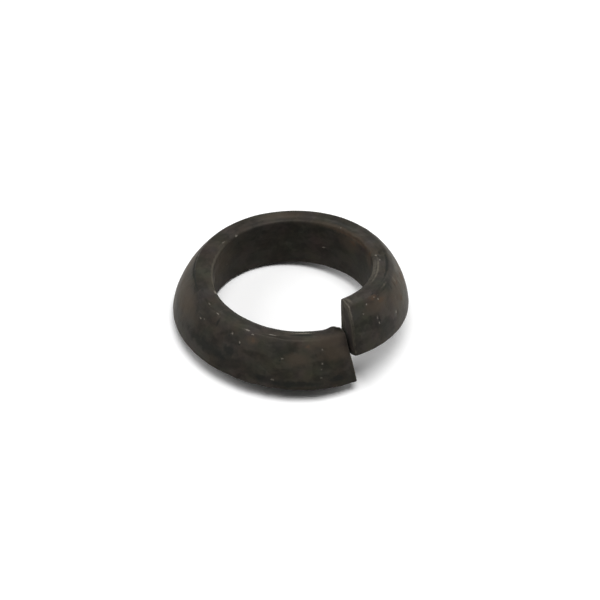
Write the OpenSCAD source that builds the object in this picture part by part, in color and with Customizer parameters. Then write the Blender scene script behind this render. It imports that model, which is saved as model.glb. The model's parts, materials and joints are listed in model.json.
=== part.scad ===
// Spring lock washer with a ball-seat flank: one turn of hardened steel bar,
// coiled round a plain bore, cut through once and sprung apart at the cut.
// It is modelled as it lies on a flat surface, which is z = 0.
// Millimetres. The coil climbs clockwise, seen from above.

/* [Section] */
// Diameter of the plain bore
bore_d = 19; // [17.5:0.1:20.5]
// Diameter at the widest edge, low on the flank
outer_d = 28; // [26.5:0.1:32]
// Outer diameter of the narrow flat rim on top
rim_d = 23; // [21.5:0.1:25.5]
// Outer diameter of the flat base
base_d = 25; // [23:0.1:26]
// Height of the bar, from its base to its rim
section_h = 6.3; // [4.5:0.1:9]
// Height of the widest edge over the base
edge_h = 0.85; // [0.3:0.05:1.5]
// Radius of the crowned flank, seen in section
crown_r = 10.3; // [6:0.1:30]
// Bevel at the top of the bore
top_bevel = 0.4; // [0.1:0.05:0.7]
// Bevel at the bottom of the bore
bottom_bevel = 0.1; // [0.05:0.05:0.7]

/* [Cut] */
// How far one end stands above the other
end_rise = 3.9; // [1:0.1:6]
// Open gap between the two ends, along the bar, where the rims face each other
end_gap = 0.7; // [0.5:0.05:2]
// Angle of the low end's face away from upright, in degrees
low_lean = 10.5; // [0:0.5:12]
// Angle of the high end's face away from upright, in degrees
high_lean = 4; // [2:0.5:12]
// Angle of the cut away from a radius, seen from above, in degrees
cut_skew = 10; // [-15:0.5:15]
// Where the low end stands round the bore, in degrees from +X
cut_azimuth = -54.7; // [-180:0.1:180]

/* [Hidden] */

bore_r = bore_d / 2;
outer_r = outer_d / 2;
rim_r = rim_d / 2;
base_r = base_d / 2;

// The swept bar reaches this far into the bore, and the bore is then cut true.
bore_stock = 1;

// Steps round the coil, and along the crown of the flank
coil_steps = 180;
crown_steps = 12;
// The slant of the cut dies away over this many degrees of the coil.
slant_run = 24;

// One full turn less the gap, measured at the middle of the bar
middle_r = (bore_r + outer_r) / 2;
coil_turn = 360 - end_gap / middle_r * 180 / PI;
// Climb in a full turn
pitch = end_rise * 360 / coil_turn;

// --- the section, as [radius, height], anticlockwise ---

// Centre of the crown, from its two end points and its radius
crown_low = [outer_r, edge_h];
crown_top = [rim_r, section_h];
crown_chord = crown_top - crown_low;
crown_off = sqrt(pow(crown_r, 2) - pow(norm(crown_chord) / 2, 2));
crown_c = (crown_low + crown_top) / 2
        + crown_off * [-crown_chord[1], crown_chord[0]] / norm(crown_chord);

function bearing(v) = atan2(v[1], v[0]);
crown_from = bearing(crown_low - crown_c);
crown_to = bearing(crown_top - crown_c);

crown = [for (i = [0:crown_steps])
    let (a = crown_from + (crown_to - crown_from) * i / crown_steps)
    crown_c + crown_r * [cos(a), sin(a)]];

section = concat(
    [[bore_r - bore_stock, bottom_bevel + bore_stock],
     [bore_r + bottom_bevel, 0],
     [base_r, 0]],
    crown,
    [[bore_r + top_bevel, section_h],
     [bore_r - bore_stock, section_h - top_bevel - bore_stock]]);

// --- the coil ---

// Both ends are cut on the skew, and each leans by its own angle, because the
// bar sprang as it was cut off. This is how far a point of the section lies
// ahead of a plain radial, upright cut, as an angle.
function slant(p, lean) =
    ((p[0] - bore_r) * tan(cut_skew) + (p[1] - section_h) * tan(lean)) / p[0] * 180 / PI;

// The slant at an angle along the coil: all of it at the ends, none between
function slant_at(p, a) =
    slant(p, low_lean) * max(0, 1 - a / slant_run)
    + slant(p, high_lean) * max(0, 1 - (coil_turn - a) / slant_run);

// A point of the section, carried an angle along the coil
function on_coil(p, a) =
    let (turned = a + slant_at(p, a), dir = cut_azimuth - turned)
    [p[0] * cos(dir), p[0] * sin(dir), p[1] + pitch * turned / 360];

coil_points = [for (i = [0:coil_steps]) for (p = section) on_coil(p, coil_turn * i / coil_steps)];

n = len(section);
coil_sides = [for (i = [0:coil_steps - 1]) for (k = [0:n - 1])
    let (a = i * n + k, b = i * n + (k + 1) % n)
    for (f = [[a, b + n, b], [a, a + n, b + n]]) f];
low_end = [for (k = [1:n - 2]) [0, k, k + 1]];
last = coil_steps * n;
high_end = [for (k = [1:n - 2]) [last, last + k + 1, last + k]];

module coil() {
    polyhedron(points = coil_points, faces = concat(coil_sides, low_end, high_end), convexity = 6);
}

// --- how it lies ---

// It touches the surface at the inner corner of the low end and, straight
// across the bore, where the outer edge of the base runs level.
heel = on_coil(section[1], 0);
heel_r = section[1][0];
// Slopes of that surface, seen from the coil: across the bore, and round it
slope_across = pitch / 2 / (heel_r + base_r);
slope_round = pitch / (2 * PI * base_r);
// The coil leans by this much, down towards this direction
lean = atan(norm([slope_across, slope_round]));
lean_to = bearing(heel) + 180 - atan(slope_round / slope_across);

function turn_z(p, a) = [p[0] * cos(a) - p[1] * sin(a), p[0] * sin(a) + p[1] * cos(a), p[2]];
function tip_x(p, a) = [p[0] * cos(a) + p[2] * sin(a), p[1], p[2] * cos(a) - p[0] * sin(a)];
function leaned(p) = turn_z(tip_x(turn_z(p, -lean_to), lean), lean_to);

// The origin is under the middle of the whole part, on the surface.
lying = [for (p = coil_points) leaned(p)];
function middle(values) = (min(values) + max(values)) / 2;
seat = [middle([for (p = lying) p[0]]), middle([for (p = lying) p[1]]), min([for (p = lying) p[2]])];

module as_it_lies() {
    translate(-seat) rotate([0, 0, lean_to]) rotate([0, lean, 0]) rotate([0, 0, -lean_to])
        children();
}

module bore() {
    translate([0, 0, -section_h]) cylinder(r = bore_r, h = end_rise + 3 * section_h, $fn = 180);
}

module spring_washer() {
    color([0.22, 0.21, 0.19])
        as_it_lies()
            difference() {
                coil();
                bore();
            }
}

spring_washer();
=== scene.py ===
# %% [markdown]
# # A spring lock washer with a ball-seat flank
#
# The real thing is one turn of hardened steel bar. The bar is coiled round the
# stud's hole, cut through once, and sprung so that one end stands above the
# other. Its flank is crowned, because it seats in the round recess of a wheel.
# The steel is dark with oxide, with some rust in it, and worn at the edges.
#
# The construction model already holds its size and how it lies. This script
# models the same washer again, more finely, and gives it its finish.

# %% Load the construction model
import json
import math

import bmesh
import bpy
import numpy as np
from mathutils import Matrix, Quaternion, Vector


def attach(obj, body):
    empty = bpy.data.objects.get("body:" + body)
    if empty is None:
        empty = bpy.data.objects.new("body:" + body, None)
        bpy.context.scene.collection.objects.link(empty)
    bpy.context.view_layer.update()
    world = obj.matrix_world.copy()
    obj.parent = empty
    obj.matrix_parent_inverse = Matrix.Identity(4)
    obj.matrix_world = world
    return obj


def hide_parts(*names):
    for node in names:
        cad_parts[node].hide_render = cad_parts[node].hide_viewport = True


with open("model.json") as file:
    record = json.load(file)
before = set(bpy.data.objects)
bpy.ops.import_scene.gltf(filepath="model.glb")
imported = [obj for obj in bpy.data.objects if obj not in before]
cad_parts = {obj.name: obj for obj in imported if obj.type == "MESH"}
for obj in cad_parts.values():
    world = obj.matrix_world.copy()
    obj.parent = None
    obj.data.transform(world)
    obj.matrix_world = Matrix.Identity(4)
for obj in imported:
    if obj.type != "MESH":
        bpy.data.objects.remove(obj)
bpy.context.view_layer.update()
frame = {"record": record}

# %% [markdown]
# ## The camera
# The camera comes first, so that every later step can be judged through it.
# A small part is looked at from some way off with a long lens, which keeps its
# round outline calm. It looks down from the front and is turned a little
# about its own line of sight.

# %% Camera
MM = 0.001
CAMERA_TURN = 1.1        # degrees round the part, from straight in front
CAMERA_RISE = 42.7       # degrees above the surface
CAMERA_ROLL = 4.8        # degrees about the line of sight
CAMERA_DISTANCE = 412.2 * MM
CAMERA_LENS = 207.8      # millimetres, on a 36 mm sensor
CAMERA_NEAREST = 10 * MM # nothing closer than this is drawn
look_at = Vector((1.1, -0.84, 4.0)) * MM

turn, rise = math.radians(CAMERA_TURN), math.radians(CAMERA_RISE)
sight = Vector((math.sin(turn) * math.cos(rise), math.cos(turn) * math.cos(rise),
                -math.sin(rise)))
bpy.ops.object.camera_add(location=look_at - sight * CAMERA_DISTANCE)
camera = bpy.context.object
camera.name = "camera"
camera.rotation_mode = "QUATERNION"
camera.rotation_quaternion = (sight.to_track_quat("-Z", "Y")
                              @ Quaternion((0, 0, 1), math.radians(CAMERA_ROLL)))
camera.data.lens = CAMERA_LENS
camera.data.clip_start = CAMERA_NEAREST
bpy.context.scene.camera = camera
print("camera at", [round(v, 4) for v in camera.location])

# %% [markdown]
# ## Sizes
# The bar is described by its section. The bore comes from the part's record.
# The other sizes are the same driving dimensions as in the construction model,
# in millimetres. The modelling is done in millimetres too and scaled down at
# the end, because some tools have thresholds that suit metre-sized things.

# %% Sizes of the bar and the coil
record_bore = next(m for m in frame["record"]["mounts"] if m["name"] == "bore")
BORE_R = record_bore["dims"]["r_mm"]
OUTER_R = 14.0           # at the widest edge, low on the flank
RIM_R = 11.5             # outer radius of the flat rim on top
BASE_R = 12.5            # outer radius of the flat base
SECTION_H = 6.3          # height of the bar
EDGE_H = 0.85            # height of the widest edge
CROWN_R = 10.3           # radius of the crowned flank, in section
TOP_BEVEL = 0.4          # bevels at the top and the bottom of the bore
BOTTOM_BEVEL = 0.1

END_RISE = 3.9           # one end stands this far above the other
END_GAP = 0.7            # between the ends, along the bar
LOW_LEAN = 10.5          # each end's face leans from upright, in degrees
HIGH_LEAN = 4.0
CUT_SKEW = 10.0          # degrees from a radius
CUT_AZIMUTH = -54.7      # where the low end stands round the bore
SLANT_RUN = 24.0         # the slant of the cut dies away over these degrees

middle_r = (BORE_R + OUTER_R) / 2
coil_turn = 360 - math.degrees(END_GAP / middle_r)
pitch = END_RISE * 360 / coil_turn
print("coil turn", round(coil_turn, 2), "degrees, pitch", round(pitch, 3), "mm")

# %% [markdown]
# ## Helpers
# An operator works on whatever is selected, so everything is deselected before
# a new piece is started. In edit mode, corners are picked by their place.

# %% Selection helpers
def only(obj):
    """Leave one object selected and active."""
    bpy.ops.object.select_all(action="DESELECT")
    obj.select_set(True)
    bpy.context.view_layer.objects.active = obj


def pick_vertices(obj, test):
    """In edit mode, select the vertices whose place passes the test."""
    bpy.ops.mesh.select_all(action="DESELECT")
    mesh = bmesh.from_edit_mesh(obj.data)
    mesh.select_mode = {"VERT"}
    chosen = [v for v in mesh.verts if test(v.co)]
    for v in chosen:
        v.select = True
    mesh.select_flush_mode()
    bmesh.update_edit_mesh(obj.data)
    return len(chosen)


def near(x, z, reach=0.02):
    """A test for places close to a corner of the section."""
    return lambda co: math.hypot(co.x - x, co.z - z) < reach


# %% [markdown]
# ## The section of the bar
# A section is an outline, and the quickest way to draw one is to push a single
# corner along and leave an edge behind it. A new plane is merged to one corner
# for that. The crowned flank is an arc, so there the corner is spun about the
# arc's centre. Every other side is straight, so it is extruded.

# %% Draw the outline
CROWN_STEPS = 12


def crown_centre():
    """Centre of the flank's arc, from its two ends and its radius."""
    low, top = Vector((OUTER_R, EDGE_H)), Vector((RIM_R, SECTION_H))
    chord = top - low
    off = math.sqrt(CROWN_R ** 2 - (chord.length / 2) ** 2)
    return (low + top) / 2 + off * Vector((-chord.y, chord.x)).normalized()


centre = crown_centre()
crown_from = math.atan2(EDGE_H - centre.y, OUTER_R - centre.x)
crown_to = math.atan2(SECTION_H - centre.y, RIM_R - centre.x)

bpy.ops.object.select_all(action="DESELECT")
bpy.ops.mesh.primitive_plane_add(size=1, location=(OUTER_R, 0, EDGE_H))
washer = bpy.context.object
washer.name = "washer_coil"
bpy.ops.object.transform_apply(location=True)
bpy.ops.object.mode_set(mode="EDIT")
bpy.ops.mesh.select_mode(type="VERT")
bpy.ops.mesh.select_all(action="SELECT")
bpy.ops.mesh.merge(type="CENTER")
bpy.ops.mesh.spin(steps=CROWN_STEPS, angle=crown_to - crown_from,
                  center=(centre.x, 0, centre.y), axis=(0, 1, 0))
for dx, dz in ((BORE_R - RIM_R, 0), (0, -SECTION_H), (BASE_R - BORE_R, 0)):
    bpy.ops.mesh.extrude_region_move(TRANSFORM_OT_translate={"value": (dx, 0, dz)})
pick_vertices(washer, lambda co: near(BASE_R, 0)(co) or near(OUTER_R, EDGE_H)(co))
bpy.ops.mesh.edge_face_add()
bpy.ops.mesh.select_all(action="SELECT")
bpy.ops.mesh.edge_face_add()
bpy.ops.object.mode_set(mode="OBJECT")
print("section corners", len(washer.data.vertices), "faces", len(washer.data.polygons))

# %% [markdown]
# ## Rounded corners
# No forged or turned corner is truly sharp. With a face inside the outline, the
# bevel tool rounds a corner in the plane of the section. Each corner gets its
# own width: a plain bevel in the bore, which a stud's thread would otherwise
# catch, and very little elsewhere. Handling has worn the bevel at the top of the
# bore wider, so its outer corner is then moved a little further out.

# %% Round the corners of the section
CORNERS = (              # place in the section, how far back it starts, steps
    (BORE_R, SECTION_H, TOP_BEVEL, 2),
    (BORE_R, 0, BOTTOM_BEVEL, 1),
    (RIM_R, SECTION_H, 0.16, 2),
    (OUTER_R, EDGE_H, 0.06, 2),
    (BASE_R, 0, 0.20, 2),
)
WORN_WIDER = 0.12        # the bevel at the top of the bore is worn this much wider

bpy.ops.object.mode_set(mode="EDIT")
for x, z, back, steps in CORNERS:
    pick_vertices(washer, near(x, z))
    bpy.ops.mesh.bevel(offset=back, segments=steps, affect="VERTICES", offset_type="OFFSET")
pick_vertices(washer, near(BORE_R + TOP_BEVEL, SECTION_H))
bpy.ops.transform.translate(value=(WORN_WIDER, 0, 0))
print("corners after rounding", len(bmesh.from_edit_mesh(washer.data).verts))

# %% [markdown]
# The long straight sides are divided so that all the edges are about as long.
# Then the surface can be worn and pitted evenly all over.

# %% Divide the long sides, and keep only the outline
SIDE = 0.52              # longest edge wanted in the section


def pick_longest_side(obj):
    """In edit mode, select the longest edge, and return its length."""
    bpy.ops.mesh.select_all(action="DESELECT")
    mesh = bmesh.from_edit_mesh(obj.data)
    edge = max(mesh.edges, key=lambda e: e.calc_length())
    edge.select_set(True)
    bmesh.update_edit_mesh(obj.data)
    return edge.calc_length()


bpy.ops.mesh.select_mode(type="EDGE")
length = pick_longest_side(washer)
while length > SIDE:
    bpy.ops.mesh.subdivide(number_cuts=math.ceil(length / SIDE) - 1)
    length = pick_longest_side(washer)
bpy.ops.mesh.select_all(action="SELECT")
bpy.ops.mesh.delete(type="ONLY_FACE")
bpy.ops.object.mode_set(mode="OBJECT")
outline = [(v.co.x, v.co.z) for v in washer.data.vertices]
outline_sides = [tuple(e.vertices) for e in washer.data.edges]
print("section has", len(outline), "corners and", len(outline_sides), "sides")

# %% [markdown]
# ## One turn of the coil
# The Screw modifier carries the outline round the upright axis and lifts it as
# it goes, which is just how the bar was coiled. A negative angle turns it
# clockwise, seen from above, so the coil climbs against a right-hand thread.
# A nut that works loose would have to drag against the sharp high end.

# %% Coil the bar
COIL_STEPS = 112
coil = washer.modifiers.new("coil", "SCREW")
coil.axis = "Z"
coil.angle = -math.radians(coil_turn)
coil.screw_offset = END_RISE
coil.steps = coil.render_steps = COIL_STEPS
only(washer)
bpy.ops.object.modifier_apply(modifier="coil")
washer.rotation_euler.z = math.radians(CUT_AZIMUTH)
bpy.ops.object.transform_apply(rotation=True)
print("coil has", len(washer.data.vertices), "vertices, height",
      round(washer.dimensions.z, 2), "mm")

# %% [markdown]
# ## Places along the coil
# From here on, a point is best named by its place along the coil: how many
# degrees it has turned from the low end, its radius, and its height over the
# base there. These two helpers go there and back.
#
# Next to the cut the two ends lie side by side, so the angle alone can't tell
# which end a point belongs to. The middle surface of the gap tells them apart.

# %% Helpers for places along the coil
NEAR_CUT = 60            # further from the cut than this, the angle alone is enough


def tangent(degrees):
    """Tangent of an angle in degrees."""
    return math.tan(math.radians(degrees))


def vertex_places(obj):
    """All vertices of a mesh as an array, one row each."""
    places = np.empty(len(obj.data.vertices) * 3, np.float32)
    obj.data.vertices.foreach_get("co", places)
    return places.reshape(-1, 3).astype(float)


def set_vertex_places(obj, places):
    """Move all vertices of a mesh."""
    obj.data.vertices.foreach_set("co", places.ravel())
    obj.data.update()


def coil_places(places):
    """For each point: degrees along the coil, radius, and height over the base."""
    x, y, z = places.T
    radius = np.hypot(x, y)
    onward = (CUT_AZIMUTH - np.degrees(np.arctan2(y, x)) + 180) % 360 - 180
    along = np.radians(onward) * radius
    low_face = tangent(CUT_SKEW) * (radius - BORE_R) + tangent(LOW_LEAN) * (z - SECTION_H)
    high_face = (tangent(CUT_SKEW) * (radius - BORE_R) - END_GAP
                 + tangent(HIGH_LEAN) * (z - END_RISE - SECTION_H))
    high_side = along < (low_face + high_face) / 2
    beside_cut = np.where(high_side, onward + 360, onward)
    turned = np.where(np.abs(onward) > NEAR_CUT, onward % 360, beside_cut)
    return turned, radius, z - pitch * turned / 360


def from_coil(turned, radius, height):
    """The way back from places along the coil to x, y, z."""
    angle = np.radians(CUT_AZIMUTH - turned)
    return np.stack([radius * np.cos(angle), radius * np.sin(angle),
                     height + pitch * turned / 360], axis=1)


# %% [markdown]
# ## The cut
# Both end sections are slid along the coil onto their cut faces: points further
# out or further up move on, and the rest stay back. The slide dies away over a
# few steps. It leaves the surface as it was, because the points only move along
# it. The shears left neither face flat: the high one is twisted a little, and
# the low one has a lip at its rim.

# %% Slide the end sections onto the faces of the cut
ENDS_OUT = 0.14          # both end faces stand this much further out, so the cut is narrower
HIGH_TWIST = 0.020       # the high end's face is twisted, by this much per mm both ways
TWIST_R = 9.9            # at this radius the twist moves nothing
LOW_LIP = (11.0, 6.3, 1.3, 0.30)     # a lip on the low end: radius, height, reach, how far


def proud(end, radius, height):
    """How far the face of an end stands out at a place of the section."""
    if end == "high":
        return ENDS_OUT + HIGH_TWIST * (radius - TWIST_R) * (SECTION_H - height)
    lip_r, lip_z, reach, amount = LOW_LIP
    off_squared = (radius - lip_r) ** 2 + (height - lip_z) ** 2
    return ENDS_OUT + amount * np.exp(-off_squared / reach ** 2)


section_count = len(outline)
places = vertex_places(washer)
radius = np.hypot(places[:, 0], places[:, 1])
turned = coil_turn * np.repeat(np.arange(COIL_STEPS + 1), section_count) / COIL_STEPS
height = places[:, 2] - pitch * turned / 360
skew = (radius - BORE_R) * tangent(CUT_SKEW)
low_slide = skew + (height - SECTION_H) * tangent(LOW_LEAN) - proud("low", radius, height)
high_slide = skew + (height - SECTION_H) * tangent(HIGH_LEAN) + proud("high", radius, height)
low_share = np.clip(1 - turned / SLANT_RUN, 0, 1)
high_share = np.clip(1 - (coil_turn - turned) / SLANT_RUN, 0, 1)
turned = turned + np.degrees((low_slide * low_share + high_slide * high_share) / radius)
set_vertex_places(washer, from_coil(turned, radius, height))
print("heights run from", round(height.min(), 3), "to", round(height.max(), 3))

# %% [markdown]
# The two open ends are filled. Their edges get a small bevel, because a sharp
# edge never survives being tumbled and handled. Inside the bevel, each end face
# is repeated smaller and smaller, towards its middle. An inset would do the same,
# but its loops would cross in the narrow corners of this section.

# %% Close the ends
END_BEVEL = 0.16
SHRINKS = (0.93, 0.80, 0.70, 0.50)   # each repeat of an end face, against the one before
MOST_SIDES = 6           # only the faces that close the ends have more sides than this


def pick_end_faces(obj, which=(0, 1)):
    """In edit mode, select the many-sided faces that close the ends."""
    bpy.ops.mesh.select_mode(type="FACE")
    bpy.ops.mesh.select_all(action="DESELECT")
    mesh = bmesh.from_edit_mesh(obj.data)
    ends = sorted((f for f in mesh.faces if len(f.verts) > MOST_SIDES),
                  key=lambda f: f.calc_center_median().z)
    for index in which:
        ends[index].select_set(True)
    bmesh.update_edit_mesh(obj.data)
    return ends[which[0]].calc_center_median()


bpy.ops.object.mode_set(mode="EDIT")
bpy.ops.mesh.select_mode(type="VERT")
bpy.ops.mesh.select_all(action="SELECT")
bpy.ops.mesh.fill_holes(sides=0)
bpy.ops.mesh.select_all(action="SELECT")
bpy.ops.mesh.normals_make_consistent(inside=False)
pick_end_faces(washer)
bpy.ops.mesh.region_to_loop()
bpy.ops.mesh.bevel(offset=END_BEVEL, segments=2, affect="EDGES", clamp_overlap=True)
for end in (0, 1):
    for shrink in SHRINKS:
        middle = pick_end_faces(washer, (end,))
        bpy.ops.mesh.extrude_region_move()
        bpy.ops.transform.resize(value=(shrink, shrink, shrink), center_override=middle)
pick_end_faces(washer)
bpy.ops.mesh.poke()
bpy.ops.object.mode_set(mode="OBJECT")
print("closed coil:", len(washer.data.polygons), "faces")

# %% [markdown]
# The Subdivision Surface modifier rounds everything gently and gives the fine
# mesh that dents and pits need. At its highest quality, its points lie most
# precisely on the smooth surface.

# %% Divide it finely
smooth = washer.modifiers.new("smooth", "SUBSURF")
smooth.levels = smooth.render_levels = 2
smooth.quality = 10
only(washer)
bpy.ops.object.modifier_apply(modifier="smooth")
bpy.ops.object.shade_smooth()
print("smoothed coil:", len(washer.data.polygons), "faces")

# %% [markdown]
# ## Where things are on the surface
# Everything that follows depends on where a point lies: how far along the coil,
# where in the section, and how near it is to a cut end. These are worked out
# once, for all points together.

# %% Distances on the surface
def from_outline(radius, height):
    """Distance, in the section, from the outline."""
    corners = np.array(outline)
    best = np.full(len(radius), np.inf)
    for a, b in outline_sides:
        start, side = corners[a], corners[b] - corners[a]
        share = ((radius - start[0]) * side[0] + (height - start[1]) * side[1]) / (side @ side)
        share = np.clip(share, 0, 1)
        best = np.minimum(best, np.hypot(radius - start[0] - share * side[0],
                                         height - start[1] - share * side[1]))
    return best


def surface_places(obj):
    """Places along the coil, and how far each point is from the nearer cut face."""
    turned, radius, height = coil_places(vertex_places(obj))
    skew = (radius - BORE_R) * tangent(CUT_SKEW)
    to_low = (np.radians(turned) * radius - skew - (height - SECTION_H) * tangent(LOW_LEAN)
              + proud("low", radius, height))
    to_high = (np.radians(coil_turn - turned) * radius + skew
               + (height - SECTION_H) * tangent(HIGH_LEAN) + proud("high", radius, height))
    return turned, radius, height, np.minimum(np.abs(to_low), np.abs(to_high))


def mark(place, along, across):
    """1 at a place on the coil, dying away over two distances, in mm."""
    there_turned, there_radius, there_height = place
    off_along = np.radians(turned - there_turned) * radius
    off_across = np.hypot(radius - there_radius, height - there_height)
    return np.exp(-(off_along / along) ** 2 - (off_across / across) ** 2)


def push_out(obj, amount):
    """Move each vertex along its normal by its own amount, in mm."""
    normals = np.empty(len(obj.data.vertices) * 3, np.float32)
    obj.data.vertex_normals.foreach_get("vector", normals)
    set_vertex_places(obj, vertex_places(obj) + normals.reshape(-1, 3) * amount[:, None])


turned, radius, height, to_cut = surface_places(washer)
print("points on the cut faces:", int((to_cut < 0.02).sum()))

# %% [markdown]
# ## Hammered by use
# Hot-coiled bar is never quite even. The bar is a little fuller on one side, and
# its widest edge is ragged, where the die halves met and where the washer has
# been struck. Two cloud textures push the whole surface in and out by a few
# hundredths of a millimetre. A third is stronger, and works on the widest edge.

# %% Uneven surface
SWELL = 0.20             # how much fuller the bar is on one side
SWELL_AT, SWELL_REACH = 262, 75      # where along the coil, in degrees
SWELL_INSIDE = 0.9       # it starts this far inside the rim's outer edge
SWELL_RAMP = 1.3         # and is full after this much more
swell = (SWELL * np.exp(-((turned - SWELL_AT) / SWELL_REACH) ** 2)
         * np.clip((radius - RIM_R + SWELL_INSIDE) / SWELL_RAMP, 0, 1))
push_out(washer, swell)

EDGE_REACH = 0.55        # how far from the widest edge it is ragged
RAGGED_END, RAGGED_FADE = 100, 50    # it is most ragged near the low end, in degrees
RAGGED_LEAST = 0.25      # what is left of that further on
widest = np.exp(-(np.hypot(radius - OUTER_R, height - EDGE_H) / EDGE_REACH) ** 2)
widest *= np.clip((RAGGED_END - turned) / RAGGED_FADE, RAGGED_LEAST, 1)
edge_group = washer.vertex_groups.new(name="widest_edge")
for weight in np.unique(np.round(widest, 1)):
    if weight > 0:
        chosen = np.flatnonzero(np.round(widest, 1) == weight)
        edge_group.add([int(i) for i in chosen], float(weight), "REPLACE")

UNEVEN = (               # name, size of the lumps, strength, where
    ("swell", 5.5, 0.10, ""),
    ("hammered", 1.5, 0.045, ""),
    ("ragged", 0.9, 0.20, "widest_edge"),
)
for name, size, strength, group in UNEVEN:
    clouds = bpy.data.textures.new(name, "CLOUDS")
    clouds.noise_scale = size
    clouds.noise_depth = 2
    uneven = washer.modifiers.new(name, "DISPLACE")
    uneven.texture = clouds
    uneven.texture_coords = "LOCAL"
    uneven.strength = strength
    uneven.vertex_group = group
    only(washer)
    bpy.ops.object.modifier_apply(modifier=name)
print("uneven surface, size", [round(v, 2) for v in washer.dimensions])

# %% [markdown]
# Dents and pits are too few and too local for a texture, so each is listed one
# by one: where it is along the coil, how wide, and how deep. A struck edge also
# throws up a small burr, which is a dent with its depth the other way.

# %% Dents, pits and burrs
DENTS = (                # place along the coil, along, across, depth
    ((60, 11.4, 6.3), 0.45, 0.30, 0.09),
    ((44, 11.2, 6.3), 0.60, 0.18, -0.05),
    ((91, 11.3, 6.3), 0.30, 0.25, 0.08),
    ((68, 12.1, 5.5), 0.25, 0.22, 0.09),
    ((62, 12.6, 4.9), 0.25, 0.25, 0.09),
    ((38, 12.8, 4.4), 0.25, 0.22, 0.08),
    ((16, 12.2, 5.3), 0.30, 0.20, 0.08),
    ((17, 13.4, 3.3), 0.22, 0.25, 0.08),
    ((292, 10.5, 6.3), 0.25, 0.20, 0.06),
    ((296, 10.2, 6.3), 0.22, 0.16, 0.05),
    ((342, 13.1, 3.9), 0.25, 0.22, 0.12),
    ((322, 12.9, 4.2), 0.30, 0.20, 0.07),
    ((327, 13.5, 2.9), 0.30, 0.25, 0.07),
    ((157, 9.9, 6.3), 0.45, 0.25, 0.07),
    ((169, 9.6, 6.1), 0.40, 0.25, -0.06),
    ((340, 11.5, 6.2), 0.80, 0.35, 0.06),
    ((48, 13.9, 1.6), 0.90, 0.35, 0.10),
    ((20, 14.0, 1.0), 1.20, 0.35, -0.08),
    ((0, 9.7, 6.2), 0.35, 0.35, 0.14),
    ((3.8, 10.0, 6.3), 0.70, 0.55, -0.30),
    ((273, 9.55, 5.9), 2.60, 0.45, 0.18),
    ((255, 9.55, 5.9), 3.00, 0.42, 0.14),
    ((130, 9.50, 5.3), 3.40, 1.20, -0.20),
    ((154, 13.2, 3.5), 0.30, 0.22, 0.08),
    ((181, 12.5, 5.0), 0.45, 0.20, 0.07),
    ((196, 13.6, 2.5), 0.25, 0.30, 0.09),
    ((213, 13.0, 3.9), 0.90, 0.16, 0.05),
    ((233, 13.8, 1.7), 0.40, 0.25, 0.08),
    ((249, 12.6, 4.8), 0.25, 0.25, 0.08),
    ((274, 13.4, 3.0), 0.35, 0.20, 0.07),
    ((186, 14.0, 0.9), 0.90, 0.35, 0.10),
    ((262, 14.0, 0.9), 0.60, 0.35, 0.08),
    ((306, 11.20, 6.3), 4.20, 0.17, 0.05),
    ((306, 11.55, 6.2), 4.50, 0.30, 0.06),
    ((131, 11.66, 6.1), 3.20, 0.17, 0.045),
    ((117, 11.60, 6.2), 3.20, 0.17, 0.045),
)
turned, radius, height, to_cut = surface_places(washer)
dents = np.zeros(len(turned))
for place, along, across, depth in DENTS:
    dents -= depth * mark(place, along, across)
push_out(washer, dents)
print(len(DENTS), "dents, deepest", round(-dents.min(), 3), "mm")

# %% [markdown]
# ## Masks for the finish
# A named attribute carries a number for every vertex, and a material can read
# it. So the places where the colour differs are painted here, in the same terms
# as the dents: the worn crests, the rust, the brown scale, the pale bruises and
# the dark stains. Some of these are painted light: shade in dents, creases, the
# gap, the bore and low on the front flank, sheen on the flanks, and highlights on
# the bore's top edge.

# %% Marks on the surface
CRESTS = (               # in the section: radius, height, reach, strength
    (10.17, 6.3, 0.14, 0.85),
    (9.85, 6.25, 0.26, 0.55),
    (9.62, 6.05, 0.16, 1.00),
    (11.5, 6.28, 0.14, 0.20),
    (14.0, 0.85, 0.16, 0.20),
)
HANDLED_AND_HIGHLIT = (              # stretches where the crests are lightest, worn and at 311 partly a painted highlight: turned, reach, strength
    (311, 18, 1.00),
    (34, 22, 0.30),
)
RUBBED_AND_HIGHLIT = (               # single rubbed places, those on the bore's top edge partly painted highlights: place along the coil, along, across, strength
    ((122, 9.47, 6.06), 6.5, 0.27, 1.15),
    ((314, 12.1, 5.5), 0.28, 0.95, 0.74),
    ((310, 12.6, 4.8), 0.18, 0.80, 0.70),
    ((326, 11.6, 6.2), 1.20, 0.17, 0.78),
    ((303, 12.2, 5.4), 0.90, 0.70, 0.70),
    ((355, 10.5, 6.3), 0.30, 0.90, 0.90),
    ((351, 9.70, 6.2), 1.20, 0.16, 0.80),
    ((268, 9.66, 6.0), 4.60, 0.26, 0.62),
)
# Brown scale. The broad patches on the right flank, at 320 and 298 degrees, and on the left
# flank, at 115 and 140, are partly a painted sheen, for the grazing light that lightens those
# flanks.
BROWN = (                # place along the coil, along, across
    ((338, 12.2, 5.2), 2.4, 0.90),
    ((320, 12.9, 4.3), 2.4, 1.50),
    ((314, 12.3, 5.3), 1.6, 0.80),
    ((298, 13.0, 4.2), 3.4, 1.20),
    ((266, 9.60, 6.0), 4.0, 0.50),
    ((247, 9.70, 6.1), 3.4, 0.42),
    ((205, 10.7, 6.3), 2.4, 0.60),
    ((12, 11.7, 6.0), 3.0, 1.10),
    ((9, 12.6, 4.8), 2.0, 1.10),
    ((115, 12.9, 4.3), 4.2, 1.60),
    ((140, 12.5, 5.0), 3.2, 1.20),
    ((56, 12.1, 5.6), 0.9, 0.50),
    ((146, 9.4, 4.0), 3.2, 2.40),
    ((261, 9.5, 4.8), 1.8, 1.00),
    ((288, 9.5, 5.4), 0.9, 1.20),
    ((30, 12.8, 4.4), 1.6, 0.80),
    ((176, 12.9, 4.2), 3.2, 1.10),
    ((224, 13.3, 3.2), 2.6, 0.90),
    ((256, 12.4, 5.2), 2.2, 0.70),
)
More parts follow.
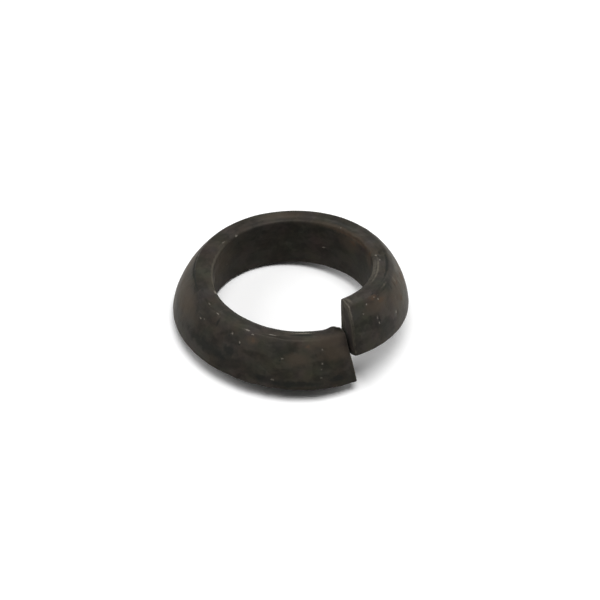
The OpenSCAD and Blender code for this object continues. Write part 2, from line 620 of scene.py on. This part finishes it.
RUST = (                 # the same three for rust, pale bruises, and dark stains and painted shade
    ((340, 11.7, 6.1), 0.90, 0.40),
    ((335, 12.2, 5.5), 0.80, 0.35),
    ((314, 12.5, 5.1), 0.35, 0.30),
    ((317, 13.2, 3.6), 0.45, 0.50),
    ((306, 13.3, 3.4), 0.40, 0.40),
    ((303, 12.9, 4.3), 0.60, 0.70),
    ((55, 12.1, 5.6), 0.30, 0.35),
    ((24, 12.0, 5.7), 0.45, 0.25),
    ((15, 9.62, 6.1), 3.40, 0.22),
    ((264, 9.5, 5.2), 0.80, 0.40),
    ((263, 9.62, 5.9), 4.20, 0.40),
    ((287, 9.55, 5.9), 0.50, 0.40),
    ((179, 12.7, 4.6), 0.70, 0.45),
    ((222, 13.5, 2.6), 0.60, 0.50),
    ((201, 13.9, 1.3), 1.10, 0.35),
    ((258, 12.2, 5.4), 0.50, 0.30),
)
PALE = (
    ((60, 11.4, 6.2), 0.40, 0.12),
    ((45, 11.1, 6.3), 0.55, 0.11),
    ((26, 10.2, 6.3), 1.50, 0.09),
    ((169, 9.6, 6.1), 0.22, 0.15),
    ((157, 9.9, 6.3), 0.35, 0.14),
    ((138, 9.65, 6.1), 0.60, 0.14),
    ((138, 9.5, 3.1), 0.12, 0.90),
    ((101, 9.75, 6.15), 0.40, 0.18),
    ((136, 9.62, 6.05), 0.60, 0.12),
    ((238, 9.5, 2.8), 0.28, 0.09),
    ((68, 12.1, 5.4), 0.12, 0.20),
    ((56, 11.7, 6.1), 0.18, 0.12),
    ((62, 12.45, 4.9), 0.12, 0.17),
    ((38, 12.8, 4.4), 0.17, 0.13),
    ((16, 12.2, 5.3), 0.14, 0.13),
    ((17, 13.1, 3.9), 0.12, 0.16),
    ((17.4, 13.4, 3.3), 0.15, 0.17),
    ((17.8, 13.7, 2.3), 0.15, 0.14),
    ((343, 13.0, 4.1), 0.14, 0.26),
    ((343, 13.3, 3.5), 0.12, 0.18),
    ((321, 12.9, 4.2), 0.17, 0.12),
    ((328, 13.4, 3.1), 0.18, 0.12),
    ((91, 12.6, 4.8), 0.15, 0.13),
    ((92, 11.3, 6.3), 0.20, 0.13),
    ((82, 11.5, 6.25), 0.30, 0.07),
    ((42, 13.8, 1.9), 0.25, 0.10),
    ((293, 10.1, 6.3), 0.18, 0.14),
    ((299, 10.4, 6.3), 0.15, 0.12),
    ((339, 11.7, 6.0), 0.18, 0.12),
    ((337, 12.0, 5.7), 0.12, 0.16),
    ((310, 13.3, 3.4), 0.16, 0.12),
    ((307, 13.2, 3.7), 0.12, 0.16),
    ((351, 12.4, 5.2), 0.12, 0.14),
    ((355.6, 13.7, 0.9), 0.15, 0.25),
    ((327, 13.4, 3.1), 0.10, 0.30),
    ((308, 12.9, 4.2), 0.25, 0.10),
    ((347, 11.9, 5.9), 0.16, 0.11),
    ((154, 13.2, 3.5), 0.16, 0.12),
    ((181, 12.5, 5.0), 0.30, 0.10),
    ((196, 13.6, 2.5), 0.13, 0.18),
    ((212, 13.0, 3.9), 0.60, 0.08),
    ((205, 12.3, 5.3), 0.12, 0.14),
    ((233, 13.8, 1.7), 0.24, 0.13),
    ((249, 12.6, 4.8), 0.14, 0.15),
    ((274, 13.4, 3.0), 0.20, 0.11),
)
# Dark marks. The small ones beside dents, at 294, 290, 62, 69, 341.5, 39 and 339 degrees, are
# painted shade in the dents. The long thin ones along the rim's outer edge, at 306, 131, 117
# and 330, are painted shade in the crease between rim and flank. The two at the high end darken
# its face towards the bore; the lower one is painted shade that the low end casts into the gap.
# Those low on the front flank, at 48, 31, 10 and 80, are painted shade towards the floor. The
# rest are dark stains and streaks of dirt.
DARK = (
    ((355.5, 10.4, 2.0), 0.5, 1.60),
    ((356.5, 9.9, 4.6), 0.3, 0.55),
    ((48, 13.8, 1.8), 0.9, 0.50),
    ((31, 13.8, 1.6), 4.0, 0.45),
    ((10, 13.8, 1.9), 1.2, 0.45),
    ((66, 13.1, 3.8), 1.1, 0.70),
    ((80, 13.6, 2.8), 4.5, 0.80),
    ((294, 10.3, 6.3), 0.2, 0.16),
    ((290, 10.6, 6.3), 0.2, 0.14),
    ((62, 12.6, 4.7), 0.2, 0.18),
    ((69, 12.3, 5.1), 0.16, 0.18),
    ((341.5, 13.2, 3.7), 0.16, 0.20),
    ((39, 12.9, 4.2), 0.18, 0.16),
    ((339, 11.4, 6.3), 0.35, 0.10),
    ((306, 11.20, 6.3), 4.6, 0.18),
    ((131, 11.66, 6.1), 3.4, 0.18),
    ((117, 11.60, 6.2), 3.4, 0.18),
    ((330, 11.8, 6.0), 0.8, 0.16),
    ((168, 13.5, 2.7), 2.2, 0.70),
    ((208, 13.1, 3.8), 1.6, 0.60),
    ((243, 13.6, 2.3), 2.6, 0.60),
    ((27, 10.6, 6.3), 2.0, 0.14),
    ((312, 9.95, 6.3), 3.2, 0.10),
    ((322, 12.1, 5.6), 0.14, 0.70),
    ((317, 12.3, 5.3), 0.14, 0.60),
    ((79, 12.0, 5.6), 0.14, 0.80),
)
print("marks:", len(RUBBED_AND_HIGHLIT) + len(BROWN) + len(RUST) + len(PALE) + len(DARK))

# %% [markdown]
# All the marks of one kind make one mask. The edges of the cut are rubbed and
# chipped as well. The faces of the cut look sheared, and the high one, which is
# the one that shows, has a light band inside its edge.

# %% Paint the masks
CREST_DEPTH = 0.25       # crests are lightened no deeper in the section than this
LEAST_HANDLED = 0.25     # how worn they are outside the stretches listed above
CUT_EDGE = 0.22          # the edges of the cut are rubbed this widely
CUT_EDGE_WEAR = 0.9
HIGH_EDGE = ((0, 1.0, 2.4, 4.6, 5.6), (1, 0.6, 0.40, 0.65, 1))   # heights, shares of that
FACE_SKIN = 0.08         # behind a cut face, its finish fades over this depth
FACE_GONE = 1.6          # and is gone at this many times that
FACE_BAND, FACE_BAND_REACH = 0.40, 0.55    # a light band on the high face, inside its edge
FACE_BAND_FROM = 9.9     # it starts at this radius
FACE_BAND_RISE = ((0.8, 2.4), (0.5, 1))    # heights, shares of its strength
FACE_BAND_WEAR = 0.80
SHEARED_FROM = 0.15      # the edge of a cut face isn't sheared so far in
CHIPPED_MIDDLE = (1.5, 5.0)          # heights between which the high end is chipped less
CHIPPED, CHIPPED_LESS = 0.50, 0.30
BORE_SKIN, BORE_FADE = 0.25, 0.3     # the bore's painted shade and rougher finish start here, and are full after this


def store(obj, name, values):
    """Keep one number for each vertex under a name."""
    attribute = obj.data.attributes.new(name, "FLOAT", "POINT")
    attribute.data.foreach_set("value", np.ascontiguousarray(values, np.float32))


turned, radius, height, to_cut = surface_places(washer)
inside = from_outline(radius, height)
high_half = turned > 180             # nearer to the high end than to the low one

crest = np.zeros(len(turned))
for r, z, reach, strength in CRESTS:
    off = np.hypot(radius - r, height - z)
    crest = np.maximum(crest, strength * np.exp(-(off / reach) ** 2))
# The crests are lightest at 311 degrees and at the rubbed places on the bore's top edge; there
# the light strip is partly a painted highlight of the bevel.
handled_and_highlit = LEAST_HANDLED + sum(amount * np.exp(-((turned - at) / reach) ** 2)
                              for at, reach, amount in HANDLED_AND_HIGHLIT)
crest *= handled_and_highlit * (inside < CREST_DEPTH)
for place, along, across, strength in RUBBED_AND_HIGHLIT:
    crest = np.maximum(crest, strength * mark(place, along, across))

cut_edge = np.exp(-(to_cut / CUT_EDGE) ** 2 - (inside / CUT_EDGE) ** 2)
cut_edge *= np.where(high_half, np.interp(height, *HIGH_EDGE), 1)
on_face = np.clip(FACE_GONE - to_cut / FACE_SKIN, 0, 1)
face_band = (on_face * high_half * (radius > FACE_BAND_FROM)
             * np.exp(-((inside - FACE_BAND) / FACE_BAND_REACH) ** 2)
             * np.interp(height, *FACE_BAND_RISE))
store(washer, "wear_and_highlight", np.maximum.reduce([crest, CUT_EDGE_WEAR * cut_edge,
                                         FACE_BAND_WEAR * face_band]))
store(washer, "sheared", on_face * np.clip(inside / SHEARED_FROM, 0, 1))

chipped_less = (height >= CHIPPED_MIDDLE[0]) & (height <= CHIPPED_MIDDLE[1])
chipped = cut_edge * high_half * np.where(chipped_less, CHIPPED_LESS, CHIPPED)
for name, places_list in (("brown", BROWN), ("rust", RUST), ("pale", PALE), ("dark", DARK)):
    painted = chipped if name == "pale" else np.zeros(len(turned))
    for place, along, across in places_list:
        painted = np.maximum(painted, mark(place, along, across))
    store(washer, name, painted)
store(washer, "bore", np.clip((BORE_R + BORE_SKIN - radius) / BORE_FADE, 0, 1))

lengthwise = washer.data.attributes.new("lengthwise", "FLOAT_VECTOR", "POINT")
along_mm = np.radians(turned) * middle_r
lengthwise.data.foreach_set("vector", np.stack([along_mm, radius, height], axis=1)
                            .astype(np.float32).ravel())
print("attributes:", [a.name for a in washer.data.attributes if not a.is_internal])

# %% [markdown]
# ## Lay it down
# Free on a flat surface, the washer leans by a few degrees. It rests on the
# inner corner of the low end and on the base across from it. The record's axis
# of the bore gives that lean. Now it is also scaled from millimetres to metres.
# Where it touches, it can't reach below the surface, so it is worn flat there.

# %% Lay it down
bore_axis = Vector(record_bore["axis"])
wall_middle = Vector((0, 0, (BOTTOM_BEVEL + END_RISE + SECTION_H - TOP_BEVEL) / 2))
lying = Vector((0, 0, 1)).rotation_difference(bore_axis)
washer.rotation_mode = "QUATERNION"
washer.rotation_quaternion = lying
washer.scale = (MM, MM, MM)
washer.location = Vector(record_bore["pos_m"]) - lying @ (wall_middle * MM)
only(washer)
bpy.ops.object.transform_apply(location=True, rotation=True, scale=True)
places = vertex_places(washer)
print("lowest point before it is worn flat there, mm:", round(places[:, 2].min() / MM, 3))
places[:, 2] = np.maximum(places[:, 2], 0)
set_vertex_places(washer, places)

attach(washer, "root")
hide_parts("spring_washer")
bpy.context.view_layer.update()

# %% [markdown]
# ## Building blocks for materials
# Nodes are easier to read when small helpers add them. Each helper adds one node
# and returns the socket that carries its result.

# %% Node helpers
def put(tree, socket, value):
    """Link a socket, or give it a plain value."""
    if isinstance(value, bpy.types.NodeSocket):
        tree.links.new(value, socket)
    else:
        socket.default_value = value


def calculate(tree, operation, *values, clamp=False):
    """One Math node."""
    node = tree.nodes.new("ShaderNodeMath")
    node.operation = operation
    node.use_clamp = clamp
    for socket, value in zip(node.inputs, values):
        put(tree, socket, value)
    return node.outputs[0]


def spread(tree, value, low, high, to_low=0.0, to_high=1.0):
    """Stretch a range of values over another, and hold it beyond the ends."""
    node = tree.nodes.new("ShaderNodeMapRange")
    for socket, number in zip(node.inputs, (value, low, high, to_low, to_high)):
        put(tree, socket, number)
    return node.outputs[0]


def mix(tree, share, first, second, how="MIX"):
    """Mix two colours."""
    node = tree.nodes.new("ShaderNodeMix")
    node.data_type = "RGBA"
    node.blend_type = how
    put(tree, node.inputs[0], share)
    put(tree, node.inputs[6], first)
    put(tree, node.inputs[7], second)
    return node.outputs[2]


def noise(tree, place, per_mm, detail=3.0, rough=0.55, colour=False):
    """Cloudy noise, with so many lumps to the millimetre."""
    node = tree.nodes.new("ShaderNodeTexNoise")
    put(tree, node.inputs["Vector"], place)
    put(tree, node.inputs["Scale"], per_mm)
    put(tree, node.inputs["Detail"], detail)
    put(tree, node.inputs["Roughness"], rough)
    return node.outputs["Color" if colour else 0]


def cells(tree, place, per_mm, wander):
    """Cells with wavering borders: how far from a cell's point, and a random number."""
    off = tree.nodes.new("ShaderNodeVectorMath")
    off.operation = "MULTIPLY_ADD"
    put(tree, off.inputs[0], noise(tree, place, 2.0 * per_mm, 2.0, 0.6, colour=True))
    put(tree, off.inputs[1], (wander, wander, wander))
    put(tree, off.inputs[2], place)
    node = tree.nodes.new("ShaderNodeTexVoronoi")
    put(tree, node.inputs["Vector"], off.outputs[0])
    put(tree, node.inputs["Scale"], per_mm)
    split = tree.nodes.new("ShaderNodeSeparateColor")
    put(tree, split.inputs[0], node.outputs["Color"])
    return node.outputs["Distance"], split.outputs[0]


def stretch(tree, vector, factors, shift=(0, 0, 0)):
    """Scale and shift a place, so that a texture is stretched or moved."""
    node = tree.nodes.new("ShaderNodeMapping")
    put(tree, node.inputs["Vector"], vector)
    node.inputs["Scale"].default_value = factors
    node.inputs["Location"].default_value = shift
    return node.outputs[0]


def read(tree, name, kind="Fac"):
    """Read an attribute of the mesh."""
    node = tree.nodes.new("ShaderNodeAttribute")
    node.attribute_name = name
    return node.outputs[kind]


SOCKETS = {"vector": "NodeSocketVector", "number": "NodeSocketFloat",
           "colour": "NodeSocketColor"}


def new_group(name, inputs, outputs):
    """An empty node group, and the sockets that bring values in and take them out."""
    tree = bpy.data.node_groups.new(name, "ShaderNodeTree")
    for label, kind in inputs:
        tree.interface.new_socket(label, in_out="INPUT", socket_type=SOCKETS[kind])
    for label, kind in outputs:
        tree.interface.new_socket(label, in_out="OUTPUT", socket_type=SOCKETS[kind])
    brought_in = tree.nodes.new("NodeGroupInput").outputs
    return tree, brought_in, tree.nodes.new("NodeGroupOutput").inputs


def use_group(tree, group, **values):
    """Put a group into a tree, and give its inputs values."""
    node = tree.nodes.new("ShaderNodeGroup")
    node.node_tree = group
    for label, value in values.items():
        put(tree, node.inputs[label.replace("_", " ")], value)
    return node.outputs


# %% [markdown]
# ## Oxide
# Steel that cooled in air after hardening carries a thin skin of scale. It is
# nearly black, with cloudy patches a millimetre or two across. Some lean to
# brown, some to green. Two sizes of noise mix the colours, and a coloured noise
# shifts the hue a little. The skin comes off in flakes, so cells with wavering
# borders make some flakes a little darker than their neighbours.

# %% Oxide colour
LENGTHWISE = (0.55, 1, 1)            # the broad patches are drawn out along the bar
HUE_SHIFT = (31, 7, 13)              # takes the hue's noise away from the other noises
HUE_SHARE = 0.22
FLAKES_PER_MM, FLAKE_WANDER = 0.60, 0.9
FLAKE_DARKEST, FLAKE_LIGHTEST = 0.80, 1.20

oxide, come, out = new_group("oxide colour",
                             [("Place", "vector"), ("Lengthwise", "vector"), ("Deep", "colour"),
                              ("Middle", "colour"), ("Light", "colour")],
                             [("Colour", "colour")])
long_place = stretch(oxide, come["Lengthwise"], LENGTHWISE)
broad = spread(oxide, noise(oxide, long_place, 0.55, 3.0, 0.55), 0.45, 0.55)
fine = spread(oxide, noise(oxide, come["Place"], 1.1, 3.0, 0.55), 0.42, 0.80, 0.0, 0.6)
skin = mix(oxide, broad, come["Deep"], come["Middle"])
skin = mix(oxide, fine, skin, come["Light"])

# The noise is about a middle grey, so doubled it tints without darkening.
hue_place = stretch(oxide, come["Place"], (1, 1, 1), HUE_SHIFT)
hue = noise(oxide, hue_place, 0.40, 1.0, 0.5, colour=True)
hue = mix(oxide, 1.0, hue, (2.0, 2.0, 2.0, 1), "MULTIPLY")
tinted = mix(oxide, 1.0, skin, hue, "MULTIPLY")
skin = mix(oxide, HUE_SHARE, skin, tinted)
random_number = cells(oxide, come["Place"], FLAKES_PER_MM, FLAKE_WANDER)[1]
flake = spread(oxide, random_number, 0, 1, FLAKE_DARKEST, FLAKE_LIGHTEST)
put(oxide, out["Colour"], mix(oxide, 1.0, skin, flake, "MULTIPLY"))
print("group:", oxide.name)

# %% [markdown]
# ## Masks with broken borders
# A painted mask alone has a soft, blurred border, like a spray. Rust and wear
# don't look like that. Noise added before a narrow spread breaks the border up,
# and leaves islands along it. Where nothing is painted, nothing is left.

# %% Broken mask
broken, come, out = new_group("broken mask",
                              [("Place", "vector"), ("Mask", "number"), ("Lumps", "number"),
                               ("Break up", "number"), ("From", "number"), ("To", "number")],
                              [("Mask", "number")])
cloud = noise(broken, come["Place"], come["Lumps"], 4.0, 0.6)
cloud = calculate(broken, "SUBTRACT", cloud, 0.5)
cloud = calculate(broken, "MULTIPLY", cloud, come["Break up"])
summed = calculate(broken, "ADD", come["Mask"], cloud)
opened = spread(broken, summed, come["From"], come["To"])
present = spread(broken, come["Mask"], 0.02, 0.15)
put(broken, out["Mask"], calculate(broken, "MULTIPLY", opened, present))
print("group:", broken.name)

# %% [markdown]
# ## Specks
# Tiny flecks are bruises, where the scale has flaked off and bare steel shows.
# A Voronoi texture scatters points evenly, and only the cells whose random
# number is low get a fleck.

# %% Specks
SPECKS_PER_MM, SPECK_WANDER = 0.9, 0.35
specks, come, out = new_group("specks",
                              [("Place", "vector"), ("Size", "number"), ("Share", "number")],
                              [("Mask", "number")])
distance, number = cells(specks, come["Place"], SPECKS_PER_MM, SPECK_WANDER)
near_point = calculate(specks, "LESS_THAN", distance, come["Size"])
chosen_cell = calculate(specks, "LESS_THAN", number, come["Share"])
put(specks, out["Mask"], calculate(specks, "MULTIPLY", near_point, chosen_cell))
print("group:", specks.name)

# %% [markdown]
# ## Surface relief
# Scale has a fine, dry grain and some lumps. Under it lie faint lines along the
# bar, left by the rolls that shaped it. All are too shallow to model, so they
# bend only the light, as a bump.

# %% Relief
ROLLED_STRETCH = (0.25, 3.0, 3.0)    # the roll marks are long and thin
LUMPS, ROLLED = 1.6, 0.8             # their heights, when the grain's is 1

relief, come, out = new_group("relief",
                              [("Place", "vector"), ("Lengthwise", "vector")],
                              [("Height", "number")])
grain = noise(relief, come["Place"], 5.0, 4.0, 0.65)
lumps = noise(relief, come["Place"], 1.3, 3.0, 0.55)
rolled = noise(relief, stretch(relief, come["Lengthwise"], ROLLED_STRETCH), 1.0, 3.0, 0.6)
uneven_height = calculate(relief, "MULTIPLY_ADD", lumps, LUMPS, grain)
all_height = calculate(relief, "MULTIPLY_ADD", rolled, ROLLED, uneven_height)
put(relief, out["Height"], all_height)
print("group:", relief.name)

# %% [markdown]
# ## The finish
# The material joins these parts, one layer over another. The shader itself stays
# plain: oxide is not a metal, so it only shines faintly. Where the steel is worn
# bare, and where a highlight is painted on the bore's top edge, the metallic share
# goes up and the surface gets smoother.

# %% Colours and layers
DEEP = (0.0134, 0.0130, 0.0117, 1)
MIDDLE = (0.0258, 0.0238, 0.0208, 1)
LIGHT = (0.0388, 0.0343, 0.0272, 1)
# Brown scale, and in part a painted sheen on the left and right flanks.
BROWN_COLOUR = (0.0540, 0.0425, 0.0320, 1)
RUST_COLOUR = (0.0740, 0.0470, 0.0310, 1)
PALE_COLOUR = (0.2400, 0.2200, 0.1900, 1)
# Worn bare steel, and on the bore's top edge in part a painted highlight.
WORN_AND_HIGHLIGHT_COLOUR = (0.1080, 0.0980, 0.0800, 1)
# Painted shade: the inside of the bore is darkened towards this.
BORE_SHADE_COLOUR = (0.0060, 0.0055, 0.0045, 1)
# Stains, and painted shade in dents, creases, the gap and low on the front flank.
STAIN_AND_SHADE_COLOUR = (0.0065, 0.0085, 0.0090, 1)

LAYERS = (               # mask, lumps, break up, from, to, share, colour
    ("dark", 1.3, 1.4, 0.30, 0.75, 0.70, STAIN_AND_SHADE_COLOUR),
    ("brown", 0.9, 0.9, 0.15, 0.75, 0.62, BROWN_COLOUR),
    ("rust", 3.2, 1.7, 0.35, 1.00, 0.60, RUST_COLOUR),
    ("pale", 6.0, 1.1, 0.30, 0.85, 0.70, PALE_COLOUR),
    ("wear_and_highlight", 2.2, 0.9, 0.35, 1.05, 0.70, WORN_AND_HIGHLIGHT_COLOUR),
)
BORE_SHADE_SHARE, SHEARED_SHARE, FLECK_SHARE = 0.3, 0.4, 0.35
FLECK_SIZE, FLECKED_CELLS = 0.08, 0.20
SHEAR_STRETCH = (2.5, 2.5, 0.5)      # the streaks of the cut run down the face
print(len(LAYERS), "layers over the oxide")

# %% Colour of the steel
steel = bpy.data.materials.new("oxidised steel")
steel.use_nodes = True
tree = steel.node_tree
shader = tree.nodes["Principled BSDF"]
where = tree.nodes.new("ShaderNodeTexCoord").outputs["Object"]
place = stretch(tree, where, (1000, 1000, 1000))     # in millimetres
lengthwise_place = read(tree, "lengthwise", "Vector")
masks = {"bore": read(tree, "bore"), "sheared": read(tree, "sheared")}

colour = use_group(tree, oxide, Place=place, Lengthwise=lengthwise_place, Deep=DEEP,
                   Middle=MIDDLE, Light=LIGHT)["Colour"]
# Painted shade darkens the inside of the bore.
colour = mix(tree, calculate(tree, "MULTIPLY", masks["bore"], BORE_SHADE_SHARE), colour, BORE_SHADE_COLOUR)
for name, lumps, break_up, from_value, to_value, share, layer_colour in LAYERS:
    mask = use_group(tree, broken, Place=place, Mask=read(tree, name), Lumps=lumps,
                     Break_up=break_up, From=from_value, To=to_value)["Mask"]
    if name == "pale":
        flecks = use_group(tree, specks, Place=place, Size=FLECK_SIZE,
                           Share=FLECKED_CELLS)["Mask"]
        flecks = calculate(tree, "MULTIPLY", flecks, FLECK_SHARE)
        mask = calculate(tree, "MAXIMUM", mask, flecks)
    masks[name] = mask
    colour = mix(tree, calculate(tree, "MULTIPLY", mask, share), colour, layer_colour)

# The sheared faces show streaks down the way the blade went.
streaks = noise(tree, stretch(tree, place, SHEAR_STRETCH), 1.0, 4.0, 0.6)
streaks = spread(tree, streaks, 0.40, 0.70)
streaks = calculate(tree, "MULTIPLY", masks["sheared"], streaks)
colour = mix(tree, calculate(tree, "MULTIPLY", streaks, SHEARED_SHARE), colour, LIGHT)
put(tree, shader.inputs["Base Color"], colour)
print("masks:", list(masks))

# %% [markdown]
# The same masks change the shine. Rust, the dark marks, which are stains and painted
# shade, and a sheared or bored surface scatter the light more than smooth oxide
# does, and rubbing polishes the worn places, the painted highlights among them.

# %% Shine and relief
SMOOTHEST, ROUGHEST = 0.38, 0.46     # roughness of plain oxide
ROUGHER = (              # mask, how much it adds to the roughness
    ("rust", 0.20), ("dark", 0.25), ("brown", 0.08),
    ("sheared", 0.22), ("bore", 0.18), ("wear_and_highlight", -0.08),
)
METAL_SHARE = 0.25       # how metallic the worn and painted-highlight places are
SPECULAR_LEVEL = 0.14
SPECULAR_TINT = (1.0, 0.90, 0.76, 1)
BUMP_STRENGTH, BUMP_DEPTH = 0.35, 0.035 * MM

roughness = spread(tree, noise(tree, place, 1.1, 3.0, 0.6), 0.3, 0.7, SMOOTHEST, ROUGHEST)
for name, more in ROUGHER:
    roughness = calculate(tree, "MULTIPLY_ADD", masks[name], more, roughness)
put(tree, shader.inputs["Roughness"], calculate(tree, "MINIMUM", roughness, 1.0))
put(tree, shader.inputs["Metallic"],
    calculate(tree, "MULTIPLY", masks["wear_and_highlight"], METAL_SHARE))
put(tree, shader.inputs["Specular IOR Level"], SPECULAR_LEVEL)
put(tree, shader.inputs["Specular Tint"], SPECULAR_TINT)

bump = tree.nodes.new("ShaderNodeBump")
put(tree, bump.inputs["Strength"], BUMP_STRENGTH)
put(tree, bump.inputs["Distance"], BUMP_DEPTH)
put(tree, bump.inputs["Height"],
    use_group(tree, relief, Place=place, Lengthwise=lengthwise_place)["Height"])
put(tree, shader.inputs["Normal"], bump.outputs[0])
washer.data.materials.append(steel)
print("material:", steel.name, "with", len(tree.nodes), "nodes")

# %% [markdown]
# ## The stage
# Parts for a library are shown on plain white. The floor is a little more than
# white to the camera, so that it goes fully white but still darkens under the
# washer. Away from the washer it glows plain white to the camera, so the lamps'
# fall-off never shows. To all other rays it is an ordinary white surface, so it
# doesn't add light to the part.

# %% Floor
FLOOR_SIZE = 3           # metres
TO_OTHER_RAYS = (0.79, 0.77, 0.73, 1)
TO_CAMERA = (1.06, 1.06, 1.06, 1)
GLOW_FROM, GLOW_FULL = 45 * MM, 90 * MM    # from the middle

bpy.ops.object.select_all(action="DESELECT")
bpy.ops.mesh.primitive_plane_add(size=FLOOR_SIZE, location=(0, 0, 0))
floor = bpy.context.object
floor.name = "floor"

paper = bpy.data.materials.new("white paper")
paper.use_nodes = True
tree = paper.node_tree
tree.nodes.clear()
rays = tree.nodes.new("ShaderNodeLightPath").outputs
matt = tree.nodes.new("ShaderNodeBsdfDiffuse")
put(tree, matt.inputs["Color"], mix(tree, rays["Is Camera Ray"], TO_OTHER_RAYS, TO_CAMERA))
glow = tree.nodes.new("ShaderNodeEmission")
put(tree, glow.inputs["Color"], (1, 1, 1, 1))
from_middle = tree.nodes.new("ShaderNodeVectorMath")
from_middle.operation = "LENGTH"
put(tree, from_middle.inputs[0], tree.nodes.new("ShaderNodeTexCoord").outputs["Object"])
away = spread(tree, from_middle.outputs["Value"], GLOW_FROM, GLOW_FULL)
joined = tree.nodes.new("ShaderNodeMixShader")
put(tree, joined.inputs[0], calculate(tree, "MULTIPLY", away, rays["Is Camera Ray"]))
put(tree, joined.inputs[1], matt.outputs[0])
put(tree, joined.inputs[2], glow.outputs[0])
surface = tree.nodes.new("ShaderNodeOutputMaterial").inputs["Surface"]
put(tree, surface, joined.outputs[0])
floor.data.materials.append(paper)
print("floor:", [round(v, 2) for v in floor.dimensions])

# %% [markdown]
# ## Light
# One soft light overhead does most of the work. The white backdrop behind the
# part throws low light forward, which brightens the shadow under the raised end
# but never reaches the contact line in front. A weak light on the left keeps
# that side from closing up. The world adds a faint fill, and shows white to the
# camera and in reflections.

# %% Lights
LIGHTS = (               # name, bearing, elevation, distance, width, depth, watts, mirrored
    ("overhead", -62.0, 82.2, 0.606, 0.45, 0.38, 3.32, True),
    ("backdrop glow", 55, 13, 0.90, 1.80, 0.30, 8.43, False),
    ("left fill", 176, 38, 0.70, 0.50, 0.35, 1.50, True),
)
LIT_POINT = Vector((0, 0, 4)) * MM
WORLD_FILL = 0.10        # strength of the world, where it isn't seen
REFLECTED = (1.0, 0.95, 0.86, 1)     # colour of the white studio in reflections

for name, bearing, elevation, distance, width, depth, watts, mirrored in LIGHTS:
    around, up = math.radians(bearing), math.radians(elevation)
    direction = Vector((math.cos(around) * math.cos(up), math.sin(around) * math.cos(up),
                        math.sin(up)))
    bpy.ops.object.light_add(type="AREA", location=direction * distance)
    light = bpy.context.object
    light.name = name
    facing = (LIT_POINT - light.location).to_track_quat("-Z", "Y")
    light.rotation_euler = facing.to_euler()
    light.data.shape = "RECTANGLE"
    light.data.size, light.data.size_y = width, depth
    light.data.energy = watts
    light.visible_glossy = mirrored
    light.visible_camera = False
    print(name, "at", [round(v, 3) for v in light.location])

world = bpy.data.worlds.new("white studio")
bpy.context.scene.world = world
world.use_nodes = True
tree = world.node_tree
rays = tree.nodes.new("ShaderNodeLightPath").outputs
seen = calculate(tree, "MAXIMUM", rays["Is Camera Ray"], rays["Is Glossy Ray"])
seen = calculate(tree, "MAXIMUM", seen, rays["Is Transmission Ray"])
background = tree.nodes["Background"].inputs
put(tree, background["Color"], mix(tree, rays["Is Glossy Ray"], (1, 1, 1, 1), REFLECTED))
put(tree, background["Strength"], spread(tree, seen, 0, 1, WORLD_FILL, 1.0))
bpy.context.scene.view_settings.view_transform = "Standard"
